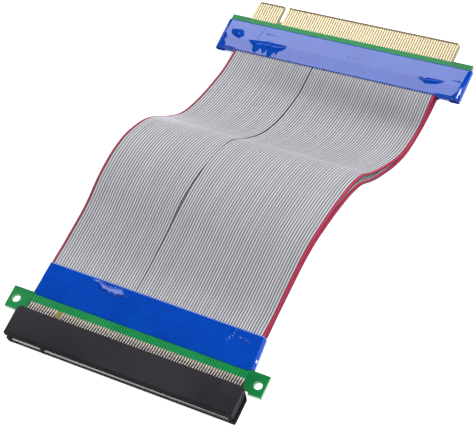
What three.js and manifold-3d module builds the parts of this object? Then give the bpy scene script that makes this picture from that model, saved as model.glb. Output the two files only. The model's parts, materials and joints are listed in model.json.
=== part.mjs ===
import * as THREE from 'three';
import { mergeVertices } from 'three/addons/utils/BufferGeometryUtils.js';
import Module from 'manifold-3d';

const wasm = await Module();
wasm.setup();

// Riser cable for a graphics card: a card slot on a small board, two layers of ribbon cable, and an edge
// connector board. X runs along both connectors, Y along the cable away from the slot, Z up.
// In each end's own frame X = 0 is midway between the first and the last contact, and Z = 0 is the top
// face of its board. Millimetres.

// contacts
const contactPitch = 1;
const shortCount = 11;
const longCount = 71;
const keyStep = 3 * contactPitch;
const contactSpan = (shortCount + longCount - 2) * contactPitch + keyStep;

// boards
const boardThickness = 1.6;
const midPlane = -boardThickness / 2;
const fit = 0.3;
const skin = 0.05;

// contact tongue of the edge board, forward of Y = 0
const tongueMargin = 0.65;
const tongueWidth = contactSpan + 2 * tongueMargin;
const tongue = { length: 7.9, corner: 1, bevelLength: 0.9, bevelDepth: 0.35 };
const keyNotch = { width: 1.9, bottom: 0.6, arcSteps: 6 };
const finger = { width: 0.7, thickness: 0.06, tip: 6.9, base: -3.2, busDepth: 0.6 };

// slot housing
const slotClearance = 0.18;
const slotWidth = tongueWidth + 2 * slotClearance;
const slot = { height: 1.8, depth: 8.6, keyRib: 1.45, leadIn: 0.5 };
const endWall = 2.17;
const housingLength = slotWidth + 2 * endWall;
const housing = { depth: 11.2, height: 7.6, rear: -3.8, longChamfer: 0.5 };
const endGroove = { height: 1.8, depth: 1 };
const rearChamfer = { side: 1.2, along: 1.8 };
const contactPocket = { depth: 2.1, height: 1.3, fromBoard: 0.35 };
const standing = housing.height / 2 - midPlane;

// contact tails, which lie on the slot board from Y = 0 towards the housing
const tail = { width: 0.5, thickness: 0.25, rise: 0.75 };
const carrier = { depth: 1.4, height: 0.6 };

// ribbon cable
const ribbon = { pitch: contactPitch, thickness: 0.9, rib: 0.3, slit: 0.3, layerGap: 0.35 };
const narrowWays = 34;
const wideWays = 50;
const ribbonWidth = (narrowWays + wideWays) * ribbon.pitch;
const stripped = { slotEnd: 11, edgeEnd: -10.6 };
const joint = { length: 3.8, height: 0.45, gap: 0.3 };

// slot board, with an ear beyond each end of the housing
const ear = { reach: 5.65, front: -4.5, rear: 3.85, hole: 3.2, holeInset: 2.75, holeY: -0.57 };
const slotBoardLength = housingLength + 2 * ear.reach;
const besideCable = 0.5;
const slotBoard = { shift: -0.4, rear: 13.6, bodyWidth: ribbonWidth + 2 * besideCable, bodyShift: 0.25 };

// edge board
const shoulder = 8.15;
const edgeBoardLength = tongueWidth + 2 * shoulder;
const edgeBoard = { shift: 0.15, depth: 14.6 };

// where the edge board lies: its top face at the tongue's shoulder, and its turns in degrees
const edgePlace = { x: 22.85, y: 136.6, z: 11.65 };
const edgeTurn = { yaw: -1.15, pitch: 5.3, roll: -9.4 };

// tape round the cable end of each board
const tape = { thickness: 0.15, clear: 0.2, ramp: 3, besideCable: 0.45, slope: 0.35 };
const slotTapeHalf = slotBoard.bodyWidth / 2 + 0.6;
const edgeTapeHalf = edgeBoardLength / 2 + 0.45;
const slotTape = { front: ear.rear + fit, rear: 16.3, half: slotTapeHalf, shift: slotBoard.bodyShift };
const edgeTape = { front: -2.3, rear: -15.5, half: edgeTapeHalf, shift: edgeBoard.shift };

// the cable's two outer edges between the boards, midway between its layers
const leftRoute = [
  [-40.8, 26.4, 6.4], [-38.0, 38.5, 12.1], [-35.8, 48.6, 18.9], [-33.9, 57.0, 22.7], [-32.4, 64.0, 23.5],
  [-31.0, 70.4, 21.8], [-29.8, 75.5, 18.8], [-28.0, 83.3, 9.4], [-26.0, 89.8, 3.6], [-23.8, 98.0, 1.6],
  [-20.8, 111.0, 1.6],
];
const rightRoute = [
  [43.2, 24.8, 7.2], [45.6, 37.0, 14.9], [47.8, 47.0, 20.8], [49.8, 56.0, 23.4], [51.4, 64.0, 24.3],
  [53.2, 72.0, 24.3], [54.3, 77.0, 22.4], [55.4, 82.5, 16.4], [57.2, 90.5, 10.2], [59.5, 99.0, 6.8],
  [61.6, 109.5, 8.0],
];
// half the distance between the layers' middles at each point, under the tapes too
const onBoard = boardThickness / 2 + skin + ribbon.thickness / 2;
const apart = (ribbon.thickness + ribbon.layerGap) / 2;
const spread = [
  onBoard, onBoard, apart, apart, apart, apart, apart, apart,
  apart, apart, apart, apart, apart, onBoard, onBoard,
];
// how much lower the lower layer hangs at each point, on the left and on the right
const leftSag = [0, 0, 0, 0, 0.1, 0.2, 0.2, 0.2, 0.1, 0, 0, 0, 0, 0, 0];
const rightSag = [0, 0, 0.3, 0.9, 1.5, 1.8, 2.0, 2.0, 1.8, 1.4, 0.9, 0.4, 0.1, 0, 0];
// the places along the route where the cable's section is set down, counted in route points
const stations = [0, 1, 2, 3.4, 4.6, 5.6, 6.6, 7.5, 8.3, 9.1, 10, 11, 12, 13, 14];

const looks = {
  plastic: { color: 0x2c2a30, roughness: 0.5, metalness: 0 },
  mask: { color: 0x0a8a45, roughness: 0.35, metalness: 0 },
  tinned: { color: 0xd9d9d6, roughness: 0.3, metalness: 1 },
  gold: { color: 0xe3c878, roughness: 0.3, metalness: 1 },
  blueTape: { color: 0x0b4fc4, roughness: 0.2, metalness: 0 },
  jacket: { color: 0xa9a7b0, roughness: 0.55, metalness: 0 },
};

function solidOf(geometry) {
  const bare = geometry.clone();
  bare.deleteAttribute('normal');
  bare.deleteAttribute('uv');
  const merged = mergeVertices(bare, 1e-5);
  return new wasm.Manifold(new wasm.Mesh({
    numProp: 3,
    vertProperties: new Float32Array(merged.attributes.position.array),
    triVerts: new Uint32Array(merged.index.array),
  }));
}

function geometryOf(solid) {
  const mesh = solid.getMesh();
  const geometry = new THREE.BufferGeometry();
  geometry.setAttribute('position', new THREE.BufferAttribute(mesh.vertProperties, 3));
  geometry.setIndex(new THREE.BufferAttribute(mesh.triVerts, 1));
  geometry.computeVertexNormals();
  return geometry;
}

function joined(geometries) {
  return geometryOf(geometries.map(solidOf).reduce((whole, piece) => whole.add(piece)));
}

function cutBy(geometry, tools) {
  return geometryOf(tools.map(solidOf).reduce((whole, tool) => whole.subtract(tool), solidOf(geometry)));
}

// a box between two opposite corners, given in any order
function boxBetween(one, other) {
  const geometry = new THREE.BoxGeometry(...one.map((value, axis) => Math.abs(value - other[axis])));
  geometry.translate(...one.map((value, axis) => (value + other[axis]) / 2));
  return geometry;
}

// an outline in X and Y, with round holes, raised from one height to another
function plate(outline, bottom, top, holes = []) {
  const shape = new THREE.Shape(outline.map(([x, y]) => new THREE.Vector2(x, y)));
  for (const hole of holes) {
    const path = new THREE.Path();
    path.absarc(hole.x, hole.y, hole.radius, 0, 2 * Math.PI, true);
    shape.holes.push(path);
  }
  const options = { depth: top - bottom, bevelEnabled: false, curveSegments: 12 };
  const geometry = new THREE.ExtrudeGeometry(shape, options);
  geometry.translate(0, 0, bottom);
  return geometry;
}

// an outline in Y and Z, drawn out along X
function barAlongX(outline, left, right) {
  const shape = new THREE.Shape(outline.map(([y, z]) => new THREE.Vector2(y, z)));
  const geometry = new THREE.ExtrudeGeometry(shape, { depth: right - left, bevelEnabled: false });
  geometry.applyMatrix4(new THREE.Matrix4().set(0, 0, 1, left, 1, 0, 0, 0, 0, 1, 0, 0, 0, 0, 0, 1));
  return geometry;
}

// an outline in X and Z, drawn out along Y
function barAlongY(outline, front, rear) {
  const shape = new THREE.Shape(outline.map(([x, z]) => new THREE.Vector2(x, z)));
  const geometry = new THREE.ExtrudeGeometry(shape, { depth: rear - front, bevelEnabled: false });
  geometry.rotateX(Math.PI / 2);
  geometry.translate(0, rear, 0);
  return geometry;
}

// a closed skin over a row of like sections; the flat section's own triangles close both ends
function loft(flatSection, sections) {
  const count = flatSection.length;
  const points = sections.flat();
  const faces = [];
  for (let row = 0; row + 1 < sections.length; row += 1) {
    for (let k = 0; k < count; k += 1) {
      const a = row * count + k;
      const b = row * count + (k + 1) % count;
      faces.push([a, b, b + count], [a, b + count, a + count]);
    }
  }
  const contour = flatSection.map(([x, y]) => new THREE.Vector2(x, y));
  const last = points.length - count;
  for (const [a, b, c] of THREE.ShapeUtils.triangulateShape(contour, [])) {
    faces.push([c, b, a], [a + last, b + last, c + last]);
  }
  const volumeOf = ([a, b, c]) => points[a].dot(points[b].clone().cross(points[c]));
  const volume = faces.reduce((sum, face) => sum + volumeOf(face), 0);
  const outward = volume < 0 ? faces.map(([a, b, c]) => [c, b, a]) : faces;
  const geometry = new THREE.BufferGeometry();
  geometry.setAttribute('position', new THREE.Float32BufferAttribute(points.flatMap((p) => p.toArray()), 3));
  geometry.setIndex(outward.flat());
  geometry.computeVertexNormals();
  return geometry;
}

// the X of each contact in the short part and in the long part
const firstContact = -contactSpan / 2;
const longStart = firstContact + (shortCount - 1) * contactPitch + keyStep;
const shortContacts = Array.from({ length: shortCount }, (_, k) => firstContact + k * contactPitch);
const longContacts = Array.from({ length: longCount }, (_, k) => longStart + k * contactPitch);
const keyCentre = longStart - keyStep / 2;

function housingGeometry() {
  const half = housingLength / 2;
  const front = housing.rear - housing.depth;
  const tall = housing.height / 2;
  const chamfer = housing.longChamfer;
  const groove = endGroove.height / 2;
  const inner = half - endGroove.depth;
  const rightSide = [
    [half - chamfer, -tall], [half, -tall + chamfer], [half, -groove], [inner, -groove],
    [inner, groove], [half, groove], [half, tall - chamfer], [half - chamfer, tall],
  ];
  const leftSide = rightSide.map(([x, z]) => [-x, z]).reverse();
  const section = [...rightSide, ...leftSide].map(([x, z]) => [x, midPlane + z]);
  const keyLeft = keyCentre - slot.keyRib / 2;
  const keyRight = keyCentre + slot.keyRib / 2;
  const floor = front + slot.depth;
  const lip = slot.height / 2;
  const opening = [
    [front - 1, midPlane - lip - slot.leadIn - 1], [front + slot.leadIn, midPlane - lip],
    [floor, midPlane - lip], [floor, midPlane + lip],
    [front + slot.leadIn, midPlane + lip], [front - 1, midPlane + lip + slot.leadIn + 1],
  ];
  const tools = [
    barAlongX(opening, -slotWidth / 2, keyLeft),
    barAlongX(opening, keyRight, slotWidth / 2),
  ];
  for (const side of [-1, 1]) {
    const near = midPlane + side * (boardThickness / 2 + contactPocket.fromBoard);
    tools.push(boxBetween(
      [-slotWidth / 2, housing.rear - contactPocket.depth, near],
      [slotWidth / 2, housing.rear + 1, near + side * contactPocket.height],
    ));
    const corner = [
      [side * (half - 2 * rearChamfer.side), housing.rear + rearChamfer.along],
      [side * (half + rearChamfer.side), housing.rear - 2 * rearChamfer.along],
      [side * (half + rearChamfer.side), housing.rear + rearChamfer.along],
    ];
    tools.push(plate(corner, midPlane - tall - 1, midPlane + tall + 1));
  }
  return cutBy(barAlongY(section, front, housing.rear), tools);
}

// a row of contact tails on a carrier inside the housing; side is 1 above the board and -1 below
function tailsGeometry(contacts, side) {
  const face = midPlane + side * (boardThickness / 2 + skin);
  const high = face + side * tail.rise;
  const back = housing.rear - contactPocket.depth + (contactPocket.depth - carrier.depth) / 2;
  const front = back + carrier.depth;
  const across = high + side * (tail.thickness - carrier.height) / 2;
  const bar = boxBetween(
    [contacts[0] - tail.width / 2, back, across],
    [contacts.at(-1) + tail.width / 2, front, across + side * carrier.height],
  );
  const inBar = front - skin;
  const outline = [
    [inBar, high], [0, face], [0, face + side * tail.thickness], [inBar, high + side * tail.thickness],
  ];
  return joined([bar, ...contacts.map((x) => barAlongX(outline, x - tail.width / 2, x + tail.width / 2))]);
}

function slotBoardGeometry() {
  const left = slotBoard.shift - slotBoardLength / 2;
  const right = slotBoard.shift + slotBoardLength / 2;
  const clearOfHousing = housingLength / 2 + fit;
  const bodyLeft = slotBoard.bodyShift - slotBoard.bodyWidth / 2;
  const bodyRight = slotBoard.bodyShift + slotBoard.bodyWidth / 2;
  const front = housing.rear + fit;
  const outline = [
    [left, ear.front], [-clearOfHousing, ear.front], [-clearOfHousing, front], [clearOfHousing, front],
    [clearOfHousing, ear.front], [right, ear.front], [right, ear.rear], [bodyRight, ear.rear],
    [bodyRight, slotBoard.rear], [bodyLeft, slotBoard.rear], [bodyLeft, ear.rear], [left, ear.rear],
  ];
  const centres = [left + ear.holeInset, right - ear.holeInset];
  return plate(outline, -boardThickness, 0, centres.map((x) => ({ x, y: ear.holeY, radius: ear.hole / 2 })));
}

function edgeBoardGeometry() {
  const left = edgeBoard.shift - edgeBoardLength / 2;
  const right = edgeBoard.shift + edgeBoardLength / 2;
  const half = tongueWidth / 2;
  const radius = keyNotch.width / 2;
  const arc = Array.from({ length: keyNotch.arcSteps + 1 }, (_, k) => {
    const angle = -Math.PI * k / keyNotch.arcSteps;
    return [keyCentre + radius * Math.cos(angle), keyNotch.bottom + radius + radius * Math.sin(angle)];
  });
  const outline = [
    [left, -edgeBoard.depth], [right, -edgeBoard.depth], [right, 0], [half, 0],
    [half, tongue.length - tongue.corner], [half - tongue.corner, tongue.length],
    [keyCentre + radius, tongue.length], ...arc, [keyCentre - radius, tongue.length],
    [-half + tongue.corner, tongue.length], [-half, tongue.length - tongue.corner], [-half, 0], [left, 0],
  ];
  const bevels = [-1, 1].map((side) => {
    const face = midPlane + side * boardThickness / 2;
    const start = tongue.length - tongue.bevelLength;
    return barAlongX([
      [start, face], [tongue.length + tongue.bevelLength, face - side * 2 * tongue.bevelDepth],
      [tongue.length + tongue.bevelLength, face + side], [start, face + side],
    ], -half - 1, half + 1);
  });
  return cutBy(plate(outline, -boardThickness, 0), bevels);
}

// a row of contact fingers, joined under the tape; side is 1 on the top face and -1 below
function fingersGeometry(contacts, side) {
  const face = midPlane + side * (boardThickness / 2 + skin);
  const outer = face + side * finger.thickness;
  const half = finger.width / 2;
  const root = finger.base + finger.busDepth;
  const comb = contacts.flatMap((x) => [
    [x - half, root], [x - half, finger.tip], [x + half, finger.tip], [x + half, root],
  ]);
  const outline = [
    [contacts[0] - half, finger.base], ...comb.slice(1, -1), [contacts.at(-1) + half, finger.base],
  ];
  return plate(outline, Math.min(face, outer), Math.max(face, outer));
}

// the stripped conductors soldered to a board's pads, in one row
function solderGeometry(near, side) {
  const face = midPlane + side * (boardThickness / 2 + skin);
  const towardContacts = Math.sign(near) * -1;
  const start = near + towardContacts * joint.gap;
  return boxBetween(
    [-ribbonWidth / 2 + skin, start, face],
    [ribbonWidth / 2 - skin, start + towardContacts * joint.length, face + side * joint.height],
  );
}

// a sleeve of tape round a board's cable end: flat on the board at its front, higher over the cable
function tapeGeometry(place, inward) {
  const flat = boardThickness / 2 + tape.clear;
  const overCable = ribbonWidth / 2 + tape.besideCable;
  const high = onBoard + ribbon.thickness / 2 + tape.clear;
  const shell = (grow, overrun) => {
    const half = place.half - tape.thickness + grow;
    const step = overCable + grow;
    const low = flat + grow;
    const sectionAt = (height) => {
      const top = [
        [half, low], [step + tape.slope, low], [step, height],
        [-step, height], [-step - tape.slope, low], [-half, low],
      ];
      return [...top, ...top.map(([x, z]) => [-x, -z])];
    };
    const rows = [
      [place.front - inward * overrun, flat], [place.front, flat], [place.front + inward * tape.ramp, high],
      [place.rear, high], [place.rear + inward * overrun, high],
    ].filter(([y], k, all) => k === 0 || y !== all[k - 1][0]);
    return loft(sectionAt(high + grow), rows.map(([y, height]) => sectionAt(height + grow)
      .map(([x, z]) => new THREE.Vector3(place.shift + x, y, midPlane + z))));
  };
  return cutBy(shell(tape.thickness, 0), [shell(0, 1)]);
}

// the edge board's frame in the part's frame
const edgeFrame = new THREE.Matrix4().makeRotationFromEuler(new THREE.Euler(
  THREE.MathUtils.degToRad(edgeTurn.pitch),
  THREE.MathUtils.degToRad(edgeTurn.roll),
  THREE.MathUtils.degToRad(edgeTurn.yaw),
  'ZXY',
));
edgeFrame.setPosition(edgePlace.x, edgePlace.y, edgePlace.z);

// one outer edge of the cable from board to board; side is -1 on the left and 1 on the right
function edgeCurve(route, side) {
  const x = side * ribbonWidth / 2;
  const z = standing + midPlane;
  const atSlot = [[x, stripped.slotEnd, z], [x, slotTape.rear + 0.8, z]];
  const atEdge = [[x, edgeTape.rear - 0.8, midPlane], [x, stripped.edgeEnd, midPlane]];
  const points = [...atSlot, ...route].map((p) => new THREE.Vector3(...p));
  points.push(...atEdge.map((p) => new THREE.Vector3(...p).applyMatrix4(edgeFrame)));
  return new THREE.CatmullRomCurve3(points, false, 'centripetal');
}

const leftEdge = edgeCurve(leftRoute, -1);
const rightEdge = edgeCurve(rightRoute, 1);

// a list's value between two of its places
function valueAt(list, place) {
  const low = Math.min(Math.floor(place), list.length - 2);
  return THREE.MathUtils.lerp(list[low], list[low + 1], place - low);
}

// the cable's upward direction: its board's own where the board holds it, and square to its route between
function normalAt(place, left, right) {
  if (place <= 1) {
    return new THREE.Vector3(0, 0, 1);
  }
  if (place >= spread.length - 2) {
    return new THREE.Vector3(0, 0, 1).transformDirection(edgeFrame);
  }
  const t = place / (spread.length - 1);
  const along = leftEdge.getTangent(t).add(rightEdge.getTangent(t));
  return right.clone().sub(left).cross(along).normalize();
}

// one ribbon: the upper layer has a rib over each conductor; layer is 1 for the upper and -1 for the lower
function ribbonGeometry(firstWay, ways, layer) {
  const start = firstWay + (firstWay > 0 ? ribbon.slit / 2 : 0);
  const end = firstWay + ways - (firstWay > 0 ? 0 : ribbon.slit / 2);
  const crest = ribbon.thickness / 2;
  const valley = crest - ribbon.rib;
  const outerFace = layer > 0 ? [[start, valley]] : [[start, crest], [end, crest]];
  for (let way = firstWay; layer > 0 && way < firstWay + ways; way += 1) {
    outerFace.push([way + 0.5, crest], [Math.min(way + 1, end), valley]);
  }
  const flat = [[start, -crest], [end, -crest], ...outerFace.reverse()];
  const sections = stations.map((place) => {
    const t = place / (spread.length - 1);
    const left = leftEdge.getPoint(t);
    const right = rightEdge.getPoint(t);
    const normal = normalAt(place, left, right);
    const sag = layer > 0 ? [0, 0] : [valueAt(leftSag, place), valueAt(rightSag, place)];
    left.addScaledVector(normal, layer * (valueAt(spread, place) + sag[0]));
    right.addScaledVector(normal, layer * (valueAt(spread, place) + sag[1]));
    return flat.map(([way, height]) => left.clone()
      .lerp(right, way * ribbon.pitch / ribbonWidth)
      .addScaledVector(normal, layer * height));
  });
  return loft(flat, sections);
}

function meshOf(name, geometry, look) {
  const mesh = new THREE.Mesh(geometry, new THREE.MeshStandardMaterial(looks[look]));
  mesh.name = name;
  return mesh;
}

const part = new THREE.Group();

const slotEnd = new THREE.Group();
slotEnd.position.z = standing;
slotEnd.add(meshOf('slot_housing', housingGeometry(), 'plastic'));
slotEnd.add(meshOf('slot_board', slotBoardGeometry(), 'mask'));
slotEnd.add(meshOf('slot_tape', tapeGeometry(slotTape, 1), 'blueTape'));

const edgeEnd = new THREE.Group();
edgeEnd.applyMatrix4(edgeFrame);
edgeEnd.add(meshOf('edge_board', edgeBoardGeometry(), 'mask'));
edgeEnd.add(meshOf('edge_tape', tapeGeometry(edgeTape, -1), 'blueTape'));

for (const [face, side] of [['upper', 1], ['lower', -1]]) {
  slotEnd.add(meshOf(`${face}_short_contacts`, tailsGeometry(shortContacts, side), 'tinned'));
  slotEnd.add(meshOf(`${face}_long_contacts`, tailsGeometry(longContacts, side), 'tinned'));
  slotEnd.add(meshOf(`${face}_slot_solder_row`, solderGeometry(stripped.slotEnd, side), 'tinned'));
  edgeEnd.add(meshOf(`${face}_short_fingers`, fingersGeometry(shortContacts, side), 'gold'));
  edgeEnd.add(meshOf(`${face}_long_fingers`, fingersGeometry(longContacts, side), 'gold'));
  edgeEnd.add(meshOf(`${face}_edge_solder_row`, solderGeometry(stripped.edgeEnd, side), 'tinned'));
  part.add(meshOf(`${face}_narrow_ribbon`, ribbonGeometry(0, narrowWays, side), 'jacket'));
  part.add(meshOf(`${face}_wide_ribbon`, ribbonGeometry(narrowWays, wideWays, side), 'jacket'));
}
part.add(slotEnd, edgeEnd);

// the part's origin is the middle of its underside
part.updateMatrixWorld(true);
const bounds = new THREE.Box3().setFromObject(part, true);
const middle = bounds.getCenter(new THREE.Vector3());
part.position.set(-middle.x, -middle.y, -bounds.min.z);

export default part;
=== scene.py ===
import json
import math

import bmesh
import bpy
import numpy as np
from mathutils import Matrix, Vector


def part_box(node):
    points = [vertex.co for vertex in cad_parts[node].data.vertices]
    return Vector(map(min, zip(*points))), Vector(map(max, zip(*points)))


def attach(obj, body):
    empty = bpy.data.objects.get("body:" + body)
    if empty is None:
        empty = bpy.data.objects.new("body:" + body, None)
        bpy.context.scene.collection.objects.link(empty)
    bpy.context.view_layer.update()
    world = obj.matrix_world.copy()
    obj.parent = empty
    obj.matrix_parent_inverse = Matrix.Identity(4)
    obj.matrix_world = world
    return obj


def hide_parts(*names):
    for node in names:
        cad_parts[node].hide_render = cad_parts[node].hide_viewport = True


# Riser cable: a card slot on a small board, four ribbons in two layers, and a card edge board.
# Shapes are worked out in millimetres in each board's own frame: X along the contacts from the middle of
# the row, Y along the cable, Z = 0 on the board's upper face.
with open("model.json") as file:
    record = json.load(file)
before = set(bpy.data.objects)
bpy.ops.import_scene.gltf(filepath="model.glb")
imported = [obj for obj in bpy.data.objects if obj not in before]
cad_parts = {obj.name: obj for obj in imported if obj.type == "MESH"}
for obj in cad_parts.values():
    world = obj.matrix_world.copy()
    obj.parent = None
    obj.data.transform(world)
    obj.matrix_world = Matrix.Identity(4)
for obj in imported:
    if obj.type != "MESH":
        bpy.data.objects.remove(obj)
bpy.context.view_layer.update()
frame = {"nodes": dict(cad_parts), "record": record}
scene = bpy.context.scene
mm = 0.001

# ---- camera, lights and floor
cameraSet = {
    "target": (0.00352, -0.01094, 0.010), "distance": 0.6056, "azimuth": 38.50, "elevation": 58.67,
    "roll": 15.98, "lens": 130.06, "sensor": 36, "clip": (0.05, 20),
}


# the camera stands at an azimuth and elevation round its target, and is rolled about its own line of sight
def placeCamera(settings):
    azimuth, elevation, roll = (math.radians(settings[key]) for key in ("azimuth", "elevation", "roll"))
    back = Vector((math.sin(azimuth) * math.cos(elevation), -math.cos(azimuth) * math.cos(elevation),
                   math.sin(elevation)))
    level = Vector((math.cos(azimuth), math.sin(azimuth), 0))
    upright = back.cross(level)
    right = level * math.cos(roll) - upright * math.sin(roll)
    up = back.cross(right)
    place = Matrix((right, up, back)).transposed().to_4x4()
    place.translation = Vector(settings["target"]) + back * settings["distance"]
    data = bpy.data.cameras.new("photoCamera")
    data.lens = settings["lens"]
    data.sensor_width = settings["sensor"]
    data.clip_start, data.clip_end = settings["clip"]
    camera = bpy.data.objects.new("photoCamera", data)
    scene.collection.objects.link(camera)
    camera.matrix_world = place
    scene.camera = camera


placeCamera(cameraSet)

# each light: where it stands, its size in metres, its power in watts; it faces the cable, or straight down
lightSet = {
    "leftRearBox": {"at": (-0.605, 0.61, 0.76), "size": (0.47, 0.58), "power": 8.0, "down": True},
    "frontStrip": {"at": (-0.39, -1.03, 0.33), "size": (0.9, 0.14), "power": 2.6, "down": False},
    "topBox": {"at": (0.54, 0.14, 1.09), "size": (0.8, 0.8), "power": 8.0, "down": False},
    "rightBox": {"at": (1.06, 0.345, 0.34), "size": (0.22, 0.17), "power": 7.0, "down": False},
    "frontFill": {"at": (0.30, -0.85, 1.10), "size": (0.7, 0.7), "power": 4.5, "down": False},
    "rearBox": {"at": (0.50, 1.16, 0.50), "size": (0.7, 0.35), "power": 2.2, "down": False},
}
lightAim = (0.0, 0.02, 0.01)
worldSet = {"color": (0.93, 0.95, 1.0, 1), "strength": 0.16}


def placeLights():
    for name, settings in lightSet.items():
        data = bpy.data.lights.new(name, "AREA")
        data.shape = "RECTANGLE"
        data.size, data.size_y = settings["size"]
        data.energy = settings["power"]
        light = bpy.data.objects.new(name, data)
        scene.collection.objects.link(light)
        light.location = settings["at"]
        if not settings["down"]:
            toward = Vector(settings["at"]) - Vector(lightAim)
            light.rotation_euler = toward.to_track_quat("Z", "Y").to_euler()
    world = bpy.data.worlds.new("paleStudio")
    world.use_nodes = True
    background = world.node_tree.nodes["Background"]
    background.inputs["Color"].default_value = worldSet["color"]
    background.inputs["Strength"].default_value = worldSet["strength"]
    scene.world = world
    scene.view_settings.view_transform = "Standard"


placeLights()
print("camera and lights placed")

# ---- materials
# a noise value goes through a range, and the tone or the roughness follows it; this range serves most
# finishes, and this detail serves fine grain
usualRange = (0.3, 0.7)
fineDetail = 2.0


# a short way to build a node tree: each helper adds its nodes and returns the socket that they give
class Tree:
    def __init__(self, name):
        self.material = bpy.data.materials.new(name)
        self.material.use_nodes = True
        self.nodes = self.material.node_tree.nodes
        self.links = self.material.node_tree.links
        self.shader = self.nodes["Principled BSDF"]

    def add(self, kind, outlet=0, settings=None, **inlets):
        node = self.nodes.new(kind)
        for key, value in (settings or {}).items():
            setattr(node, key, value)
        for key, value in inlets.items():
            self.feed(node.inputs[int(key[1:]) if key[1:].isdigit() else key], value)
        return node.outputs[outlet]

    def feed(self, inlet, value):
        if isinstance(value, bpy.types.NodeSocket):
            self.links.new(value, inlet)
        else:
            inlet.default_value = value

    def math(self, operation, a, b=0.0):
        return self.add("ShaderNodeMath", settings={"operation": operation}, i0=a, i1=b)

    def noise(self, vector, scale, detail=3.0, roughness=0.5):
        return self.add("ShaderNodeTexNoise", Vector=vector, Scale=scale, Detail=detail, Roughness=roughness)

    def ramp(self, value, low, high, start=0.0, end=1.0):
        return self.add("ShaderNodeMapRange", settings={"interpolation_type": "SMOOTHSTEP"},
                        Value=value, i1=low, i2=high, i3=start, i4=end)

    def blend(self, factor, one, other, kind="MIX"):
        return self.add("ShaderNodeMix", 2, settings={"data_type": "RGBA", "blend_type": kind},
                        i0=factor, i6=one, i7=other)

    # colour from dark to light as the value goes through the tone's range
    def tone(self, value, settings):
        low, high = settings.get("toneRange", usualRange)
        return self.blend(self.ramp(value, low, high), settings["dark"], settings["light"])

    # roughness from the first number to the second as the value goes through the gloss's range
    def gloss(self, value, settings):
        low, high = settings.get("glossRange", usualRange)
        return self.ramp(value, low, high, *settings["roughness"])

    # how far a value is from a middle
    def distance(self, value, middle):
        return self.math("ABSOLUTE", self.math("SUBTRACT", value, middle))

    # 1 where the value lies between two limits, else 0
    def between(self, value, limits):
        return self.math("MULTIPLY", self.math("GREATER_THAN", value, limits[0]),
                         self.math("LESS_THAN", value, limits[1]))

    def objectPlace(self):
        return self.add("ShaderNodeTexCoord", 3)

    def stretched(self, vector, scale):
        return self.add("ShaderNodeMapping", Vector=vector, Scale=scale)

    # the piece's own UV map, whole and as its two coordinates
    def ownPlace(self, uvName="boardPlace"):
        uv = self.add("ShaderNodeUVMap", settings={"uv_map": uvName})
        split = self.nodes.new("ShaderNodeSeparateXYZ")
        self.links.new(uv, split.inputs[0])
        return uv, split.outputs[0], split.outputs[1]

    def bump(self, height, settings):
        strength, distance = settings["bump"]
        normal = self.add("ShaderNodeBump", Strength=strength, Distance=distance, Height=height)
        self.links.new(normal, self.shader.inputs["Normal"])

    def finish(self, **inlets):
        for key, value in inlets.items():
            self.feed(self.shader.inputs[key.replace("_", " ")], value)
        return self.material


# moulded housing: nearly black with a violet cast, a fine grain and cloudy gloss
housingPlasticSet = {
    "cloud": 45.0, "grain": 2600.0, "dark": (0.014, 0.013, 0.017, 1), "light": (0.022, 0.021, 0.026, 1),
    "glossRange": (0.25, 0.75), "roughness": (0.40, 0.55), "specular": 0.14, "bump": (0.25, 0.00004),
}


def housingPlastic(settings):
    tree = Tree("housingPlastic")
    place = tree.objectPlace()
    cloud = tree.noise(place, settings["cloud"])
    tree.bump(tree.noise(place, settings["grain"], fineDetail), settings)
    return tree.finish(Base_Color=tree.tone(cloud, settings), Roughness=tree.gloss(cloud, settings),
                       Specular_IOR_Level=settings["specular"])


# the same plastic on the mating face and in the slot, darker and without gloss: painted shade on the mating
# face and in the slot
shadedMouthPlasticSet = {
    "grain": 2600.0, "dark": (0.003, 0.003, 0.004, 1), "light": (0.007, 0.007, 0.008, 1),
    "roughness": (0.55, 0.68), "specular": 0.03, "bump": (0.25, 0.00004),
}


def shadedMouthPlastic(settings):
    tree = Tree("shadedMouthPlastic")
    grain = tree.noise(tree.objectPlace(), settings["grain"], fineDetail)
    tree.bump(grain, settings)
    return tree.finish(Base_Color=tree.tone(grain, settings), Roughness=tree.gloss(grain, settings),
                       Specular_IOR_Level=settings["specular"])


# the lead-in of the card slot, where cards slide in: a lighter colour, painted highlight for the bright line
# along the lower lip, with a high gloss
highlightLipSet = {
    "rubAndHighlightStreak": (40.0, 900.0, 900.0), "dark": (0.05, 0.05, 0.055, 1), "light": (0.09, 0.09, 0.095, 1),
    "roughness": (0.16, 0.28), "specular": 0.8, "coat": 0.3, "coatRoughness": 0.1,
}


def highlightLip(settings):
    tree = Tree("highlightLip")
    rubAndHighlightStreak = tree.noise(tree.stretched(tree.objectPlace(), settings["rubAndHighlightStreak"]), 1.0)
    return tree.finish(Base_Color=tree.tone(rubAndHighlightStreak, settings), Roughness=tree.gloss(rubAndHighlightStreak, settings),
                       Specular_IOR_Level=settings["specular"], Coat_Weight=settings["coat"],
                       Coat_Roughness=settings["coatRoughness"])


# solder mask on woven laminate, in the board's own millimetres
boardMaskSet = {
    "cloud": 120.0, "dark": (0.0004, 0.150, 0.034, 1), "light": (0.0008, 0.200, 0.047, 1),
    "traceColor": (0.004, 0.270, 0.070, 1), "traceSides": (0.16, 0.24), "weavePitch": (0.45, 0.5),
    "weaveRange": (-0.8, 0.8), "weaveDark": (0.215, 0.190, 0.050, 1), "weaveLight": (0.280, 0.245, 0.080, 1),
    "keyMiddle": -30.0, "keyHalf": 1.22, "shadow": 0.7, "bareHeight": -0.6, "cloudHeight": 0.15,
    "glossRange": (0.2, 0.8), "roughness": (0.26, 0.38), "specular": 0.16, "bump": (0.6, 0.00003),
}
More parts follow.
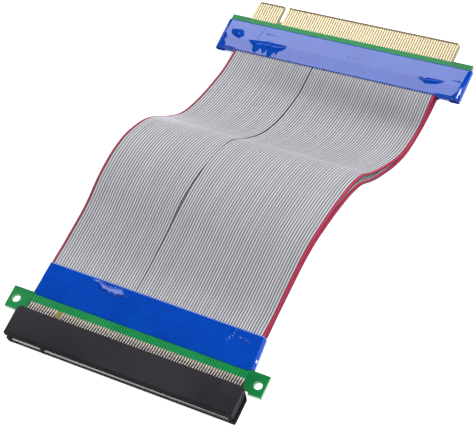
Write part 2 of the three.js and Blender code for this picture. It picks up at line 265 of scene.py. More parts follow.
# each board's own: Y limits of its bare band and of its traces, half the row's width, colour between contacts
# (on the slot board partly painted shade under the tails)
slotMaskSet = {"bare": (-6.0, 0.1), "traces": (0.1, 4.5), "half": 42.2, "gap": (0.060, 0.034, 0.022, 1)}
edgeMaskSet = {"bare": (0.0, 9.0), "traces": (-3.4, 0.0), "half": 42.3, "gap": (0.200, 0.140, 0.060, 1)}


# the mask is lighter over the traces that lead to each contact; bare laminate shows in the bare band, in its
# own colour at the key and darker between the contacts, on the slot board partly painted shade under the
# tails; the weave is sin(X) * sin(Y)
def boardMask(name, own, settings):
    tree = Tree(name)
    x, y = tree.ownPlace()[1:]
    cloud = tree.noise(tree.objectPlace(), settings["cloud"])
    weaveX, weaveY = (tree.math("SINE", tree.math("MULTIPLY", place, 2 * math.pi / pitch))
                      for place, pitch in zip((x, y), settings["weavePitch"]))
    weave = tree.ramp(tree.math("MULTIPLY", weaveX, weaveY), *settings["weaveRange"])
    laminate = tree.blend(weave, settings["weaveDark"], settings["weaveLight"])
    atKey = tree.math("LESS_THAN", tree.distance(x, settings["keyMiddle"]), settings["keyHalf"])
    # away from the key the bare band takes the colour between contacts, on the slot board partly painted shade
    shadow = tuple(settings["shadow"] * part for part in own["gap"][:3]) + (1,)
    laminate = tree.blend(atKey, tree.blend(weave, own["gap"], shadow), laminate)
    within = tree.math("LESS_THAN", tree.math("ABSOLUTE", x), own["half"])
    fromTrace = tree.ramp(tree.distance(tree.math("FRACT", x), 0.5), *settings["traceSides"], 1.0, 0.0)
    trace = tree.math("MULTIPLY", fromTrace,
                      tree.math("MULTIPLY", tree.between(y, own["traces"]), within))
    bareBand = tree.math("MULTIPLY", tree.between(y, own["bare"]), within)
    masked = tree.blend(trace, tree.tone(cloud, settings), settings["traceColor"])
    height = tree.math("ADD", trace, tree.math("MULTIPLY", bareBand, settings["bareHeight"]))
    tree.bump(tree.math("ADD", height, tree.math("MULTIPLY", cloud, settings["cloudHeight"])), settings)
    return tree.finish(Base_Color=tree.blend(bareBand, masked, laminate),
                       Roughness=tree.gloss(cloud, settings), Specular_IOR_Level=settings["specular"])


# the cut edge of the laminate, with thin layers of glass cloth: greenish on the slot board, pale olive on the
# edge board
laminateSet = {
    "layers": (60.0, 60.0, 5200.0), "toneRange": (0.35, 0.65), "roughness": (0.45, 0.7),
    "bump": (0.3, 0.00002),
}
slotLaminateTones = {"dark": (0.12, 0.32, 0.12, 1), "light": (0.26, 0.42, 0.22, 1)}
edgeLaminateTones = {"dark": (0.20, 0.19, 0.12, 1), "light": (0.32, 0.30, 0.20, 1)}


def laminateEdge(name, settings):
    tree = Tree(name)
    layers = tree.noise(tree.stretched(tree.objectPlace(), settings["layers"]), 1.0, fineDetail)
    tree.bump(layers, settings)
    return tree.finish(Base_Color=tree.tone(layers, settings), Roughness=tree.gloss(layers, settings))


# bright tin: slightly clouded, with fine lines along the strip
brightTinSet = {
    "lines": (9000.0, 600.0, 9000.0), "cloud": 700.0, "dark": (0.46, 0.435, 0.40, 1),
    "light": (0.64, 0.605, 0.56, 1), "roughness": (0.56, 0.66), "bump": (0.2, 0.00002),
}


def brightTin(settings):
    tree = Tree("brightTin")
    place = tree.objectPlace()
    cloud = tree.noise(place, settings["cloud"], fineDetail)
    tree.bump(tree.noise(tree.stretched(place, settings["lines"]), 1.0, fineDetail), settings)
    return tree.finish(Base_Color=tree.tone(cloud, settings), Metallic=1.0,
                       Roughness=tree.gloss(cloud, settings))


# gold plate on the contact fingers: pale, satin, rubbed along the way that a card slides, most near its tip
rubbedGoldSet = {
    "rubAndHighlightStreak": (9.0, 0.7, 1.0), "wornFrom": (3.2, 5.2), "rubRange": (0.45, 0.7), "plate": (0.46, 0.395, 0.265, 1),
    "worn": (0.43, 0.385, 0.28, 1), "roughness": (0.38, 0.50), "bump": (0.15, 0.00002),
}


def rubbedGold(settings):
    tree = Tree("rubbedGold")
    uv, _, y = tree.ownPlace()
    rubAndHighlightStreak = tree.noise(tree.stretched(uv, settings["rubAndHighlightStreak"]), 1.0)
    wear = tree.math("MULTIPLY", tree.ramp(y, *settings["wornFrom"]), tree.ramp(rubAndHighlightStreak, *settings["rubRange"]))
    tree.bump(rubAndHighlightStreak, settings)
    return tree.finish(Base_Color=tree.blend(wear, settings["plate"], settings["worn"]), Metallic=1.0,
                       Roughness=tree.gloss(rubAndHighlightStreak, settings))


# glossy blue film: deep and even, a little lighter in random clouds, with rubbed streaks in its gloss,
# and paler over each rib along the cut edge
blueFilmSet = {
    "cloud": 90.0, "cloudRoughness": 0.6, "streak": (160.0, 900.0, 300.0), "dark": (0.0001, 0.045, 0.36, 1),
    "light": (0.0002, 0.056, 0.42, 1), "cutEdge": (15.85, 16.1), "cutColor": (0.30, 0.42, 0.80, 1),
    "glossRange": (0.35, 0.75), "roughness": (0.05, 0.11), "specular": 0.20, "coat": 0.08,
    "coatRoughness": 0.05, "bump": (0.06, 0.00005),
}


def blueFilm(settings):
    tree = Tree("blueFilm")
    place = tree.objectPlace()
    x, y = tree.ownPlace()[1:]
    ribs = tree.math("MULTIPLY", tree.math("COSINE", tree.math("MULTIPLY", x, 2 * math.pi)), -0.5)
    cutEdge = tree.math("MULTIPLY", tree.ramp(y, *settings["cutEdge"]), tree.math("ADD", ribs, 0.5))
    cloud = tree.noise(place, settings["cloud"], roughness=settings["cloudRoughness"])
    streak = tree.noise(tree.stretched(place, settings["streak"]), 1.0)
    tree.bump(streak, settings)
    return tree.finish(Base_Color=tree.blend(cutEdge, tree.tone(cloud, settings), settings["cutColor"]),
                       Roughness=tree.gloss(streak, settings), Specular_IOR_Level=settings["specular"],
                       Coat_Weight=settings["coat"], Coat_Roughness=settings["coatRoughness"])


# ribbon jacket: one rib a conductor, darker in the grooves with painted shade, each rib its own tone, and the
# outer conductors red; the first coordinate of "wayPlace" counts conductors from the left, the second is
# millimetres along
greyJacketSet = {
    "drawn": (1.2, 0.05, 1.0), "toneRange": (0.15, 0.85), "dark": (0.480, 0.477, 0.512, 1),
    "light": (0.545, 0.541, 0.580, 1), "leftRed": (0.36, 0.060, 0.100, 1), "rightRed": (0.56, 0.028, 0.095, 1),
    "firstWay": 1.0, "lastWay": 83.0, "groove": (0.45, 0.95), "grooveShade": 0.10, "roughness": (0.42, 0.56),
    "specular": 0.22, "bump": (0.15, 0.00006),
}


def greyJacket(settings):
    tree = Tree("greyJacket")
    uv, way, _ = tree.ownPlace("wayPlace")
    aside = tree.math("MULTIPLY", tree.distance(tree.math("FRACT", way), 0.5), 2.0)
    number = tree.math("FLOOR", way)
    own = tree.add("ShaderNodeTexWhiteNoise", settings={"noise_dimensions": "1D"}, W=number)
    drawn = tree.noise(tree.stretched(uv, settings["drawn"]), 1.0)
    ribTone = tree.math("ADD", tree.math("MULTIPLY", own, 0.5), tree.math("MULTIPLY", drawn, 0.5))
    atLeft = tree.math("LESS_THAN", way, settings["firstWay"])
    atRight = tree.math("GREATER_THAN", way, settings["lastWay"])
    jacket = tree.blend(atLeft, tree.tone(ribTone, settings), settings["leftRed"])
    jacket = tree.blend(atRight, jacket, settings["rightRed"])
    # painted shade in the grooves: the colour falls to grooveShade of itself toward each rib's sides
    groove = tree.ramp(aside, *settings["groove"], 1.0, settings["grooveShade"])
    dark = tree.add("ShaderNodeCombineXYZ", i0=groove, i1=groove, i2=groove)
    tree.bump(drawn, settings)
    return tree.finish(Base_Color=tree.blend(1.0, jacket, dark, "MULTIPLY"),
                       Roughness=tree.gloss(drawn, settings), Specular_IOR_Level=settings["specular"])


plastic = housingPlastic(housingPlasticSet)
mouthShade = shadedMouthPlastic(shadedMouthPlasticSet)
lip = highlightLip(highlightLipSet)
slotMask = boardMask("slotBoardMask", slotMaskSet, boardMaskSet)
edgeMask = boardMask("edgeBoardMask", edgeMaskSet, boardMaskSet)
slotLaminate = laminateEdge("slotLaminateEdge", {**laminateSet, **slotLaminateTones})
edgeLaminate = laminateEdge("edgeLaminateEdge", {**laminateSet, **edgeLaminateTones})
tin = brightTin(brightTinSet)
gold = rubbedGold(rubbedGoldSet)
film = blueFilm(blueFilmSet)
jacketFinish = greyJacket(greyJacketSet)
print("materials made")

# ---- the two boards' frames
# half a board's thickness, the mating face's Y, how high the slot board's upper face is, the left shoulder's X
boardSet = {"half": 0.8, "housingFront": -15.0, "upperFace": 4.6, "leftShoulder": -46.0}
midPlane = -boardSet["half"]
slotLow, slotHigh = (np.array(corner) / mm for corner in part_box("slot_housing"))
slotOrigin = np.array([(slotLow[0] + slotHigh[0]) / 2, slotLow[1] - boardSet["housingFront"],
                       slotLow[2] + boardSet["upperFace"]])
mounts = {mount["name"]: mount for mount in frame["record"]["mounts"]}


# the edge board's axes come from its two shoulders, which lie on its middle plane, and the way they face
def edgeFrame():
    left = np.array(mounts["left_shoulder"]["pos_m"]) / mm
    right = np.array(mounts["right_shoulder"]["pos_m"]) / mm
    along = np.array(mounts["left_shoulder"]["axis"], float)
    across = (right - left) / np.linalg.norm(right - left)
    upward = np.cross(across, along)
    upward /= np.linalg.norm(upward)
    along = np.cross(upward, across)
    axes = np.stack([across, along, upward])
    return left - np.array([boardSet["leftShoulder"], 0, midPlane]) @ axes, axes


edgeOrigin, edgeAxes = edgeFrame()


def atSlot(points):
    return np.asarray(points, float) + slotOrigin


def atEdge(points):
    return np.asarray(points, float) @ edgeAxes + edgeOrigin


# 0 below low, 1 above high, and an even S curve between them
def smooth(value, low, high):
    part = np.clip((value - low) / (high - low), 0, 1)
    return part * part * (3 - 2 * part)


# ---- mesh helpers
# corner numbers of the quads between neighbouring rows of a grid that is counted row by row
def gridQuads(rows, columns, closed):
    i, j = np.meshgrid(np.arange(rows - 1), np.arange(columns if closed else columns - 1), indexing="ij")
    first = i * columns + j
    second = i * columns + (j + 1) % columns
    return np.stack([first, second, second + columns, first + columns], -1).reshape(-1, 4)


# the same small shape set down many times: corner numbers move on by the shape's point count each time
def repeatedFaces(faces, pointCount, times):
    return [[corner + k * pointCount for corner in face] for k in range(times) for face in faces]


# copies of a small shape's points, one at each X
def repeatedPoints(points, row):
    steps = np.stack([row, 0 * row, 0 * row], -1)
    return (points[None] + steps[:, None]).reshape(-1, 3)


# points turned over to the board's other face when the side is -1: Z mirrored about the middle plane
def onSide(points, side):
    turned = points.copy()
    turned[..., 2] = midPlane + side * (points[..., 2] - midPlane)
    return turned


# a value for every face, such as its normal or its centre, as rows of three
def faceValues(mesh, what):
    values = np.zeros(len(mesh.polygons) * 3, np.float32)
    mesh.polygons.foreach_get(what, values)
    return values.reshape(-1, 3)


# each vertex's two coordinates, given to the corners of the faces round it
def giveUv(mesh, uv, uvName):
    layer = mesh.uv_layers.new(name=uvName)
    corners = np.zeros(len(mesh.loops), np.int32)
    mesh.loops.foreach_get("vertex_index", corners)
    layer.data.foreach_set("uv", np.asarray(uv, np.float32)[corners].ravel())


def smoothShaded(mesh, sharp):
    mesh.polygons.foreach_set("use_smooth", np.ones(len(mesh.polygons), bool))
    mesh.set_sharp_from_angle(angle=math.radians(sharp))


# points in millimetres and faces as corner numbers become an object that rides on the body, outward side out
def addPiece(name, points, faces, material, replaced=(), uv=None, uvName="boardPlace", sharp=35.0):
    mesh = bpy.data.meshes.new(name)
    mesh.from_pydata((np.asarray(points) * mm).tolist(), [], [list(map(int, face)) for face in faces])
    mesh.update()
    if uv is not None:
        giveUv(mesh, uv, uvName)
    shell = bmesh.new()
    shell.from_mesh(mesh)
    bmesh.ops.recalc_face_normals(shell, faces=shell.faces)
    shell.to_mesh(mesh)
    shell.free()
    smoothShaded(mesh, sharp)
    return dressed(name, mesh, [material], replaced)


def dressed(name, mesh, materials, replaced):
    piece = bpy.data.objects.new(name, mesh)
    scene.collection.objects.link(piece)
    for material in materials:
        mesh.materials.append(material)
    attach(piece, "root")
    if replaced:
        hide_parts(*replaced)
    return piece


# ---- ribbons
# lengths in millimetres; slitReach is how many ways to each side of the slit make room for it
ribbonSet = {
    "pitch": 1.0, "thickness": 0.9, "rib": 0.3, "layerGap": 0.35, "skin": 0.05, "straightOn": 0.8,
    "narrowWays": 34, "wideWays": 50, "slotEnd": 11.0, "slotTapeRear": 16.3, "edgeTapeRear": -15.5,
    "edgeEnd": -10.6, "stations": 127, "arcs": 6, "slitReach": 6, "sharp": 75.0,
}
# the cable's outer edges between the two tapes, from the slot board's origin, with Z from the floor
leftRoute = [
    [-40.8, 26.4, 6.4], [-38.0, 38.5, 12.1], [-35.8, 48.6, 18.9], [-33.9, 57.0, 22.7], [-32.4, 64.0, 23.5],
    [-31.0, 70.4, 21.8], [-29.8, 75.5, 18.8], [-28.0, 83.3, 9.4], [-26.0, 89.8, 3.6], [-23.8, 98.0, 1.6],
    [-20.8, 111.0, 1.6],
]
rightRoute = [
    [43.2, 24.8, 7.2], [45.6, 37.0, 14.9], [47.8, 47.0, 20.8], [49.8, 56.0, 23.4], [51.4, 64.0, 24.3],
    [53.2, 72.0, 24.3], [54.3, 77.0, 22.4], [55.4, 82.5, 16.4], [57.2, 90.5, 10.2], [59.5, 99.0, 6.8],
    [61.6, 109.5, 8.0],
]
# at each point of the route: how far the lower layer hangs off the upper one, and how wide the slit is
leftSag = [0, 0, 0, 0, 0.1, 0.2, 0.2, 0.2, 0.1, 0, 0, 0, 0, 0, 0]
rightSag = [0, 0, 0.3, 0.9, 1.5, 1.8, 2.0, 2.0, 1.8, 1.4, 0.9, 0.4, 0.1, 0, 0]
slitOpening = [0.12, 0.12, 0.16, 0.34, 0.85, 0.50, 0.05, 0.06, 0.40, 0.60, 0.52, 0.46, 0.36, 0.3, 0.3]
allWays = ribbonSet["narrowWays"] + ribbonSet["wideWays"]
cableWidth = allWays * ribbonSet["pitch"]
onBoard = boardSet["half"] + ribbonSet["skin"] + ribbonSet["thickness"] / 2
apart = (ribbonSet["thickness"] + ribbonSet["layerGap"]) / 2
routeEnd = len(leftRoute) + 3
spread = [onBoard, onBoard] + [apart] * len(leftRoute) + [onBoard, onBoard]


# an outer edge of the cable: out of the slot board, over the named points, into the edge board
def outerRoute(route, side):
    x = side * cableWidth / 2
    straight = ribbonSet["straightOn"]
    start = atSlot([[x, ribbonSet["slotEnd"], midPlane], [x, ribbonSet["slotTapeRear"] + straight, midPlane]])
    middle = np.array(route) + [slotOrigin[0], slotOrigin[1], 0]
    end = atEdge([[x, ribbonSet["edgeTapeRear"] - straight, midPlane], [x, ribbonSet["edgeEnd"], midPlane]])
    return np.concatenate([start, middle, end])


# a centripetal cubic through the points: each stretch is timed by the square root of its chord, its end
# slopes come from the neighbouring chords, and places count points from the start; the first and the last
# stretch, which a board holds, are straight
def alongRoute(points, places):
    padded = np.concatenate([[2 * points[0] - points[1]], points, [2 * points[-1] - points[-2]]])
    index = np.minimum(places.astype(int), len(points) - 2)
    part = (places - index)[:, None]
    a, b, c, d = (padded[index + k] for k in range(4))
    before, here, after = (np.sqrt(np.linalg.norm(q - p, axis=1))[:, None]
                           for p, q in ((a, b), (b, c), (c, d)))
    slopeB = ((b - a) / before - (c - a) / (before + here) + (c - b) / here) * here
    slopeC = ((c - b) / here - (d - b) / (here + after) + (d - c) / after) * here
    curved = (b + slopeB * part + (-3 * b + 3 * c - 2 * slopeB - slopeC) * part ** 2
              + (2 * b - 2 * c + slopeB + slopeC) * part ** 3)
    held = ((index == 0) | (index == len(points) - 2))[:, None]
    return np.where(held, b + (c - b) * part, curved)


# a list's value at each place, easing from one entry to the next
def eased(values, places):
    low = np.minimum(places.astype(int), len(values) - 2)
    part = smooth(places - low, 0, 1)
    values = np.array(values, float)
    return values[low] * (1 - part) + values[low + 1] * part


# the cable's upward direction: square to its route, and each board's own where the board holds it
def cableNormals(left, right, places):
    along = np.gradient((left + right) / 2, axis=0)
    normal = np.cross(right - left, along)
    normal /= np.linalg.norm(normal, axis=1)[:, None]
    nearSlot = (1 - smooth(places, 1, 2))[:, None]
    nearEdge = smooth(places, routeEnd - 2, routeEnd - 1)[:, None]
    normal = normal * (1 - nearSlot) + np.array([0, 0, 1]) * nearSlot
    normal = normal * (1 - nearEdge) + edgeAxes[2] * nearEdge
    return normal / np.linalg.norm(normal, axis=1)[:, None]


# the section of a jacket, as way and height: across, each conductor is a half circle laid flat,
# height = valley + rib * sin(angle) at way = half - half * cos(angle), on both faces
def jacketSection(firstWay, ways):
    angle = np.pi * np.arange(ribbonSet["arcs"]) / ribbonSet["arcs"]
    across = (firstWay + np.arange(ways)[:, None] + (0.5 - 0.5 * np.cos(angle))[None, :]).ravel()
    across = np.append(across, firstWay + ways)
    rise = np.append(np.tile(np.sin(angle), ways), 0.0)
    height = ribbonSet["thickness"] / 2 - ribbonSet["rib"] + ribbonSet["rib"] * rise
    return np.concatenate([across, across[::-1]]), np.concatenate([height, -height[::-1]])


# one jacket: its section carried along between the cable's two outer edges, which lie a layer's distance off
# the route, and pushed aside near the slit
def ribbonJacket(name, firstWay, ways, layer, replaced):
    places = np.linspace(0, routeEnd, ribbonSet["stations"])
    left = alongRoute(outerRoute(leftRoute, -1), places)
    right = alongRoute(outerRoute(rightRoute, 1), places)
    normal = cableNormals(left, right, places)
    leftOut = layer * (eased(spread, places) + (eased(leftSag, places) if layer < 0 else 0))
    rightOut = layer * (eased(spread, places) + (eased(rightSag, places) if layer < 0 else 0))
    left = left + normal * leftOut[:, None]
    right = right + normal * rightOut[:, None]
    way, height = jacketSection(firstWay, ways)
    slit = eased(slitOpening, places)[:, None] / 2
    nearSlit = 1 - smooth(np.abs(way - ribbonSet["narrowWays"])[None, :], 0, ribbonSet["slitReach"])
    part = ((way[None, :] + (slit if firstWay else -slit) * nearSlit) / allWays)[:, :, None]
    points = left[:, None] * (1 - part) + right[:, None] * part + normal[:, None] * height[None, :, None]
    count, rows = len(way), len(places)
    k = np.arange(count // 2 - 1)
    cap = np.stack([k, k + 1, count - 2 - k, count - 1 - k], -1)
    faces = np.concatenate([gridQuads(rows, count, True), cap, cap + (rows - 1) * count])
    steps = np.linalg.norm(np.diff((left + right) / 2, axis=0), axis=1)
    length = np.concatenate([[0], np.cumsum(steps)])
    uv = np.stack(np.broadcast_arrays(way[None, :], length[:, None]), -1)
    return addPiece(name, points.reshape(-1, 3), faces, jacketFinish, [replaced],
                    uv.reshape(-1, 2), "wayPlace", ribbonSet["sharp"])


for word, layer in (("upper", 1), ("lower", -1)):
    ribbonJacket(f"{word}NarrowJacket", 0, ribbonSet["narrowWays"], layer, f"{word}_narrow_ribbon")
    ribbonJacket(f"{word}WideJacket", ribbonSet["narrowWays"], ribbonSet["wideWays"], layer,
                 f"{word}_wide_ribbon")
print("ribbons made")

# ---- contacts
rowSet = {"shortCount": 11, "shortStart": -41.5, "longCount": 71, "longStart": -28.5}
shortRow = np.arange(rowSet["shortCount"]) + rowSet["shortStart"]
longRow = np.arange(rowSet["longCount"]) + rowSet["longStart"]
contactX = np.concatenate([shortRow, longRow])
tailSet = {
    "width": 0.40, "thickness": 0.20, "high": 0.84, "low": 0.06, "back": -6.1, "bendStart": -3.7,
    "bendEnd": -0.85, "toe": 0.05, "steps": 9, "sharp": 40.0,
}


# a flat strip that leaves the housing level, falls in an S curve and lies on its pad: height eases from high
# to low between the two bend places
def tailRow(name, row, side, replaced):
    bend = np.linspace(tailSet["bendStart"], tailSet["bendEnd"], tailSet["steps"])
    y = np.concatenate([[tailSet["back"]], bend, [tailSet["toe"]]])
    fall = smooth(y, tailSet["bendStart"], tailSet["bendEnd"])
    z = tailSet["high"] + (tailSet["low"] - tailSet["high"]) * fall
    slope = np.gradient(z, y)
    lean = tailSet["thickness"] / np.sqrt(1 + slope ** 2)
    half = tailSet["width"] / 2
    x = np.array([-half, half, half, -half])
    up = np.array([0, 0, 1, 1])
    points = np.stack(np.broadcast_arrays(x[None, :], y[:, None] - (slope * lean)[:, None] * up,
                                          z[:, None] + lean[:, None] * up), -1)
    points = onSide(points.reshape(-1, 3), side)
    rows = len(y)
    faces = gridQuads(rows, 4, True).tolist() + [[3, 2, 1, 0], [rows * 4 - 4 + k for k in range(4)]]
    return addPiece(name, atSlot(repeatedPoints(points, row)), repeatedFaces(faces, len(points), len(row)),
                    tin, [replaced], sharp=tailSet["sharp"])


filletSet = {
    "halfWidth": 0.27, "front": -1.1, "rear": 0.16, "height": 0.10, "rim": 0.012, "bottom": 0.002,
    "roundness": 0.35, "across": 6, "along": 6, "sharp": 50.0,
}


# the solder round each foot: a low cushion, height = top * (1 - u^4) * (1 - v^4), closed below
def filletRow(name, side):
    front, rear = filletSet["front"], filletSet["rear"]
    u, v = np.meshgrid(np.linspace(-1, 1, filletSet["across"]), np.linspace(-1, 1, filletSet["along"]))
    x = u * filletSet["halfWidth"] * np.sqrt(1 - filletSet["roundness"] * v ** 4)
    y = (front + rear) / 2 + v * (rear - front) / 2
    z = filletSet["rim"] + filletSet["height"] * (1 - u ** 4) * (1 - v ** 4)
    upper = np.stack([x, y, z], -1).reshape(-1, 3)
    lower = upper.copy()
    lower[:, 2] = filletSet["bottom"]
    points = onSide(np.concatenate([upper, lower]), side)
    rows, columns = u.shape
    sheet = gridQuads(rows, columns, False)
    count = rows * columns
    ring = np.concatenate([np.arange(columns), np.arange(1, rows) * columns + columns - 1,
                           np.arange(columns - 2, -1, -1) + (rows - 1) * columns,
                           np.arange(rows - 2, 0, -1) * columns])
    following = np.roll(ring, -1)
    wall = np.stack([ring, following, following + count, ring + count], -1)
    faces = np.concatenate([sheet, sheet[:, ::-1] + count, wall]).tolist()
    return addPiece(name, atSlot(repeatedPoints(points, contactX)),
                    repeatedFaces(faces, len(points), len(contactX)), tin,
                    sharp=filletSet["sharp"])


fingerSet = {"width": 0.60, "base": -0.35, "tip": 6.9, "corner": 0.12, "skin": 0.006, "thickness": 0.045}


# a flat finger with its four corners cut, as a plate of even thickness
def fingerRow(name, row, side, replaced):
    half, cut = fingerSet["width"] / 2, fingerSet["corner"]
    base, tip = fingerSet["base"], fingerSet["tip"]
    outline = np.array([[-half + cut, base], [half - cut, base], [half, base + cut], [half, tip - cut],
                        [half - cut, tip], [-half + cut, tip], [-half, tip - cut], [-half, base + cut]])
    count = len(outline)
    near = np.full((count, 1), fingerSet["skin"])
    far = near + fingerSet["thickness"]
    points = onSide(np.concatenate([np.hstack([outline, near]), np.hstack([outline, far])]), side)
    faces = [list(range(count - 1, -1, -1)), list(range(count, 2 * count))]
    faces += [[k, (k + 1) % count, (k + 1) % count + count, k + count] for k in range(count)]
    placed = repeatedPoints(points, row)
    return addPiece(name, atEdge(placed), repeatedFaces(faces, len(points), len(row)), gold,
                    [replaced], placed[:, :2])


for word, side in (("upper", 1), ("lower", -1)):
    tailRow(f"{word}ShortTails", shortRow, side, f"{word}_short_contacts")
    tailRow(f"{word}LongTails", longRow, side, f"{word}_long_contacts")
    filletRow(f"{word}SolderFillets", side)
    fingerRow(f"{word}ShortGold", shortRow, side, f"{word}_short_fingers")
    fingerRow(f"{word}LongGold", longRow, side, f"{word}_long_fingers")
print("contacts made")

# ---- housing and boards, from merged copies of the solids
housingSet = {
    "slotHalf": 0.9, "notchWidth": 0.55, "notchDepth": 0.75, "notchFrom": 0.55, "notchLength": 6.5,
    "tall": 3.8, "toothWidth": 0.44, "toothDeep": 0.42, "overrun": 0.2, "mouthWall": 0.6,
    "leadInFacing": (0, -0.7071, 0.7071), "leadInLimit": 0.98, "frontLimit": -0.9, "bevel": 0.05,
}
boardPlateSet = {"bevel": 0.07, "edgeLimit": 0.9}
mergeSet = {"distance": 1e-6, "flatWithin": 0.5}
bevelAngle = 35


# a solid's mesh copied, its corners merged and its flat faces joined
def mergedCopy(node, name):
    mesh = frame["nodes"][node].data.copy()
    mesh.name = name
    mesh.materials.clear()
    shell = bmesh.new()
    shell.from_mesh(mesh)
    bmesh.ops.remove_doubles(shell, verts=shell.verts, dist=mergeSet["distance"])
    bmesh.ops.dissolve_limit(shell, angle_limit=math.radians(mergeSet["flatWithin"]), verts=shell.verts,
                             edges=shell.edges)
    shell.to_mesh(mesh)
    shell.free()
    return mesh


# boxes between pairs of opposite corners, as one mesh
def boxes(lows, highs):
    lows, highs = np.asarray(lows, float), np.asarray(highs, float)
    pick = np.array([[i, j, k] for i in (0, 1) for j in (0, 1) for k in (0, 1)])
    points = lows[:, None] * (1 - pick) + highs[:, None] * pick
    faces = [[0, 1, 3, 2], [4, 6, 7, 5], [0, 4, 5, 1], [2, 3, 7, 6], [0, 2, 6, 4], [1, 5, 7, 3]]
    return points.reshape(-1, 3), repeatedFaces(faces, 8, len(lows))


# the mesh with every box cut out of it
def cutAway(mesh, lows, highs):
    points, faces = boxes(lows, highs)
    cutterMesh = bpy.data.meshes.new("cutter")
    cutterMesh.from_pydata((atSlot(points) * mm).tolist(), [], faces)
    cutter = bpy.data.objects.new("cutter", cutterMesh)
    body = bpy.data.objects.new("body", mesh)
    scene.collection.objects.link(cutter)
    scene.collection.objects.link(body)
    cut = body.modifiers.new("cavities", "BOOLEAN")
    cut.operation = "DIFFERENCE"
    cut.solver = "EXACT"
    cut.object = cutter
    result = bpy.data.meshes.new_from_object(body.evaluated_get(bpy.context.evaluated_depsgraph_get()))
    bpy.data.objects.remove(body)
    bpy.data.objects.remove(cutter)
    bpy.data.meshes.remove(cutterMesh)
    return result


def bevelled(piece, width, segments):
    bevel = piece.modifiers.new("softEdges", "BEVEL")
    bevel.width = width * mm
    bevel.segments = segments
    bevel.limit_method = "ANGLE"
    bevel.angle_limit = math.radians(bevelAngle)
    bevel.harden_normals = True
    smoothShaded(piece.data, bevelAngle)


# the housing with a cavity for each contact in both lips of the slot, and a small notch over each at the
# mating face's outer edges
def slotHousing():
    half, tooth = housingSet["notchWidth"] / 2, housingSet["toothWidth"] / 2
    tall, overrun = housingSet["tall"], housingSet["overrun"]
    face = boardSet["housingFront"]
    front = face + housingSet["notchFrom"]
    lows, highs = [], []
    for side in (-1, 1):
        near = midPlane + side * (housingSet["slotHalf"] - overrun)
        far = midPlane + side * (housingSet["slotHalf"] + housingSet["notchDepth"])
        inner = midPlane + side * (tall - housingSet["toothDeep"])
        outer = midPlane + side * (tall + overrun)
        for x in contactX:
            lows.append([x - half, front, min(near, far)])
            highs.append([x + half, front + housingSet["notchLength"], max(near, far)])
            lows.append([x - tooth, face - overrun, min(inner, outer)])
            highs.append([x + tooth, face + housingSet["toothDeep"], max(inner, outer)])
    mesh = cutAway(mergedCopy("slot_housing", "slotHousingShell"), lows, highs)
    piece = dressed("slotHousingShell", mesh, [plastic, lip, mouthShade], ["slot_housing"])
    facing = faceValues(mesh, "normal")
    level = faceValues(mesh, "center")[:, 2] / mm - slotOrigin[2] - midPlane
    # the lead-in faces take the lighter, glossy plastic: painted highlight
    leadIn = facing @ housingSet["leadInFacing"] > housingSet["leadInLimit"]
    # the mating face and the inside of the slot take the darker plastic: painted shade
    inside = (np.abs(level) < tall - housingSet["mouthWall"]) | (facing[:, 1] < housingSet["frontLimit"])
    finish = np.where(leadIn, 1, np.where(inside, 2, 0))
    mesh.polygons.foreach_set("material_index", finish.astype(np.int32))
    bevelled(piece, housingSet["bevel"], 2)


# a board with its own plane's coordinates on it, and bare laminate on its cut edges
def dressedBoard(name, node, origin, axes, mask, laminate):
    mesh = mergedCopy(node, name)
    points = np.zeros(len(mesh.vertices) * 3, np.float32)
    mesh.vertices.foreach_get("co", points)
    local = (points.reshape(-1, 3) / mm - origin) @ axes.T
    for layer in list(mesh.uv_layers):
        mesh.uv_layers.remove(layer)
    giveUv(mesh, local[:, :2], "boardPlace")
    piece = dressed(name, mesh, [mask, laminate], [node])
    sideways = np.abs(faceValues(mesh, "normal") @ axes[2]) < boardPlateSet["edgeLimit"]
    mesh.polygons.foreach_set("material_index", sideways.astype(np.int32))
    bevelled(piece, boardPlateSet["bevel"], 1)


slotHousing()
dressedBoard("slotBoardPlate", "slot_board", slotOrigin, np.eye(3), slotMask, slotLaminate)
dressedBoard("edgeBoardPlate", "edge_board", edgeOrigin, edgeAxes, edgeMask, edgeLaminate)
print("housing and boards made")

# ---- tapes
slotTapeSet = {
    "front": 3.15, "sideFront": 3.98, "rear": 16.3, "half": 43.0, "shift": 0.25, "inward": 1, "climb": 7.5,
    "plateau": (42.5, 42.9), "pinch": 0.0, "taper": (0.006, 0.020), "columns": 340, "under": 90, "rows": 52,
    "bulge": 0.17, "seed": 3, "tents": [], "falls": [],
    # pulled facets: outline, slope along x and y, distance from one pleat to the next, where the first starts
    "facets": [([(-25.6, 15.0), (-22.1, 14.5), (-20.0, 12.8), (-14.0, 12.1), (-10.1, 13.1), (-12.7, 15.1),
                 (-18.0, 14.4), (-22.5, 15.4)], (0.04, -0.085), 13.0, -58.3),
               ([(34.1, 13.3), (36.0, 13.1), (38.3, 12.8), (38.1, 12.3), (36.0, 12.5), (34.0, 12.8)],
                (0.15, -0.10), 5.0, 25.1)],
    # creases: the points along each, its width and its height
    "creases": [([(32.6, 15.5), (32.0, 12.8), (30.5, 10.3), (30.3, 8.2), (29.5, 4.7)], 0.46, 0.12),
                ([(-38.0, 6.5), (-24.0, 7.6), (-10.0, 7.2)], 0.9, 0.03)],
}
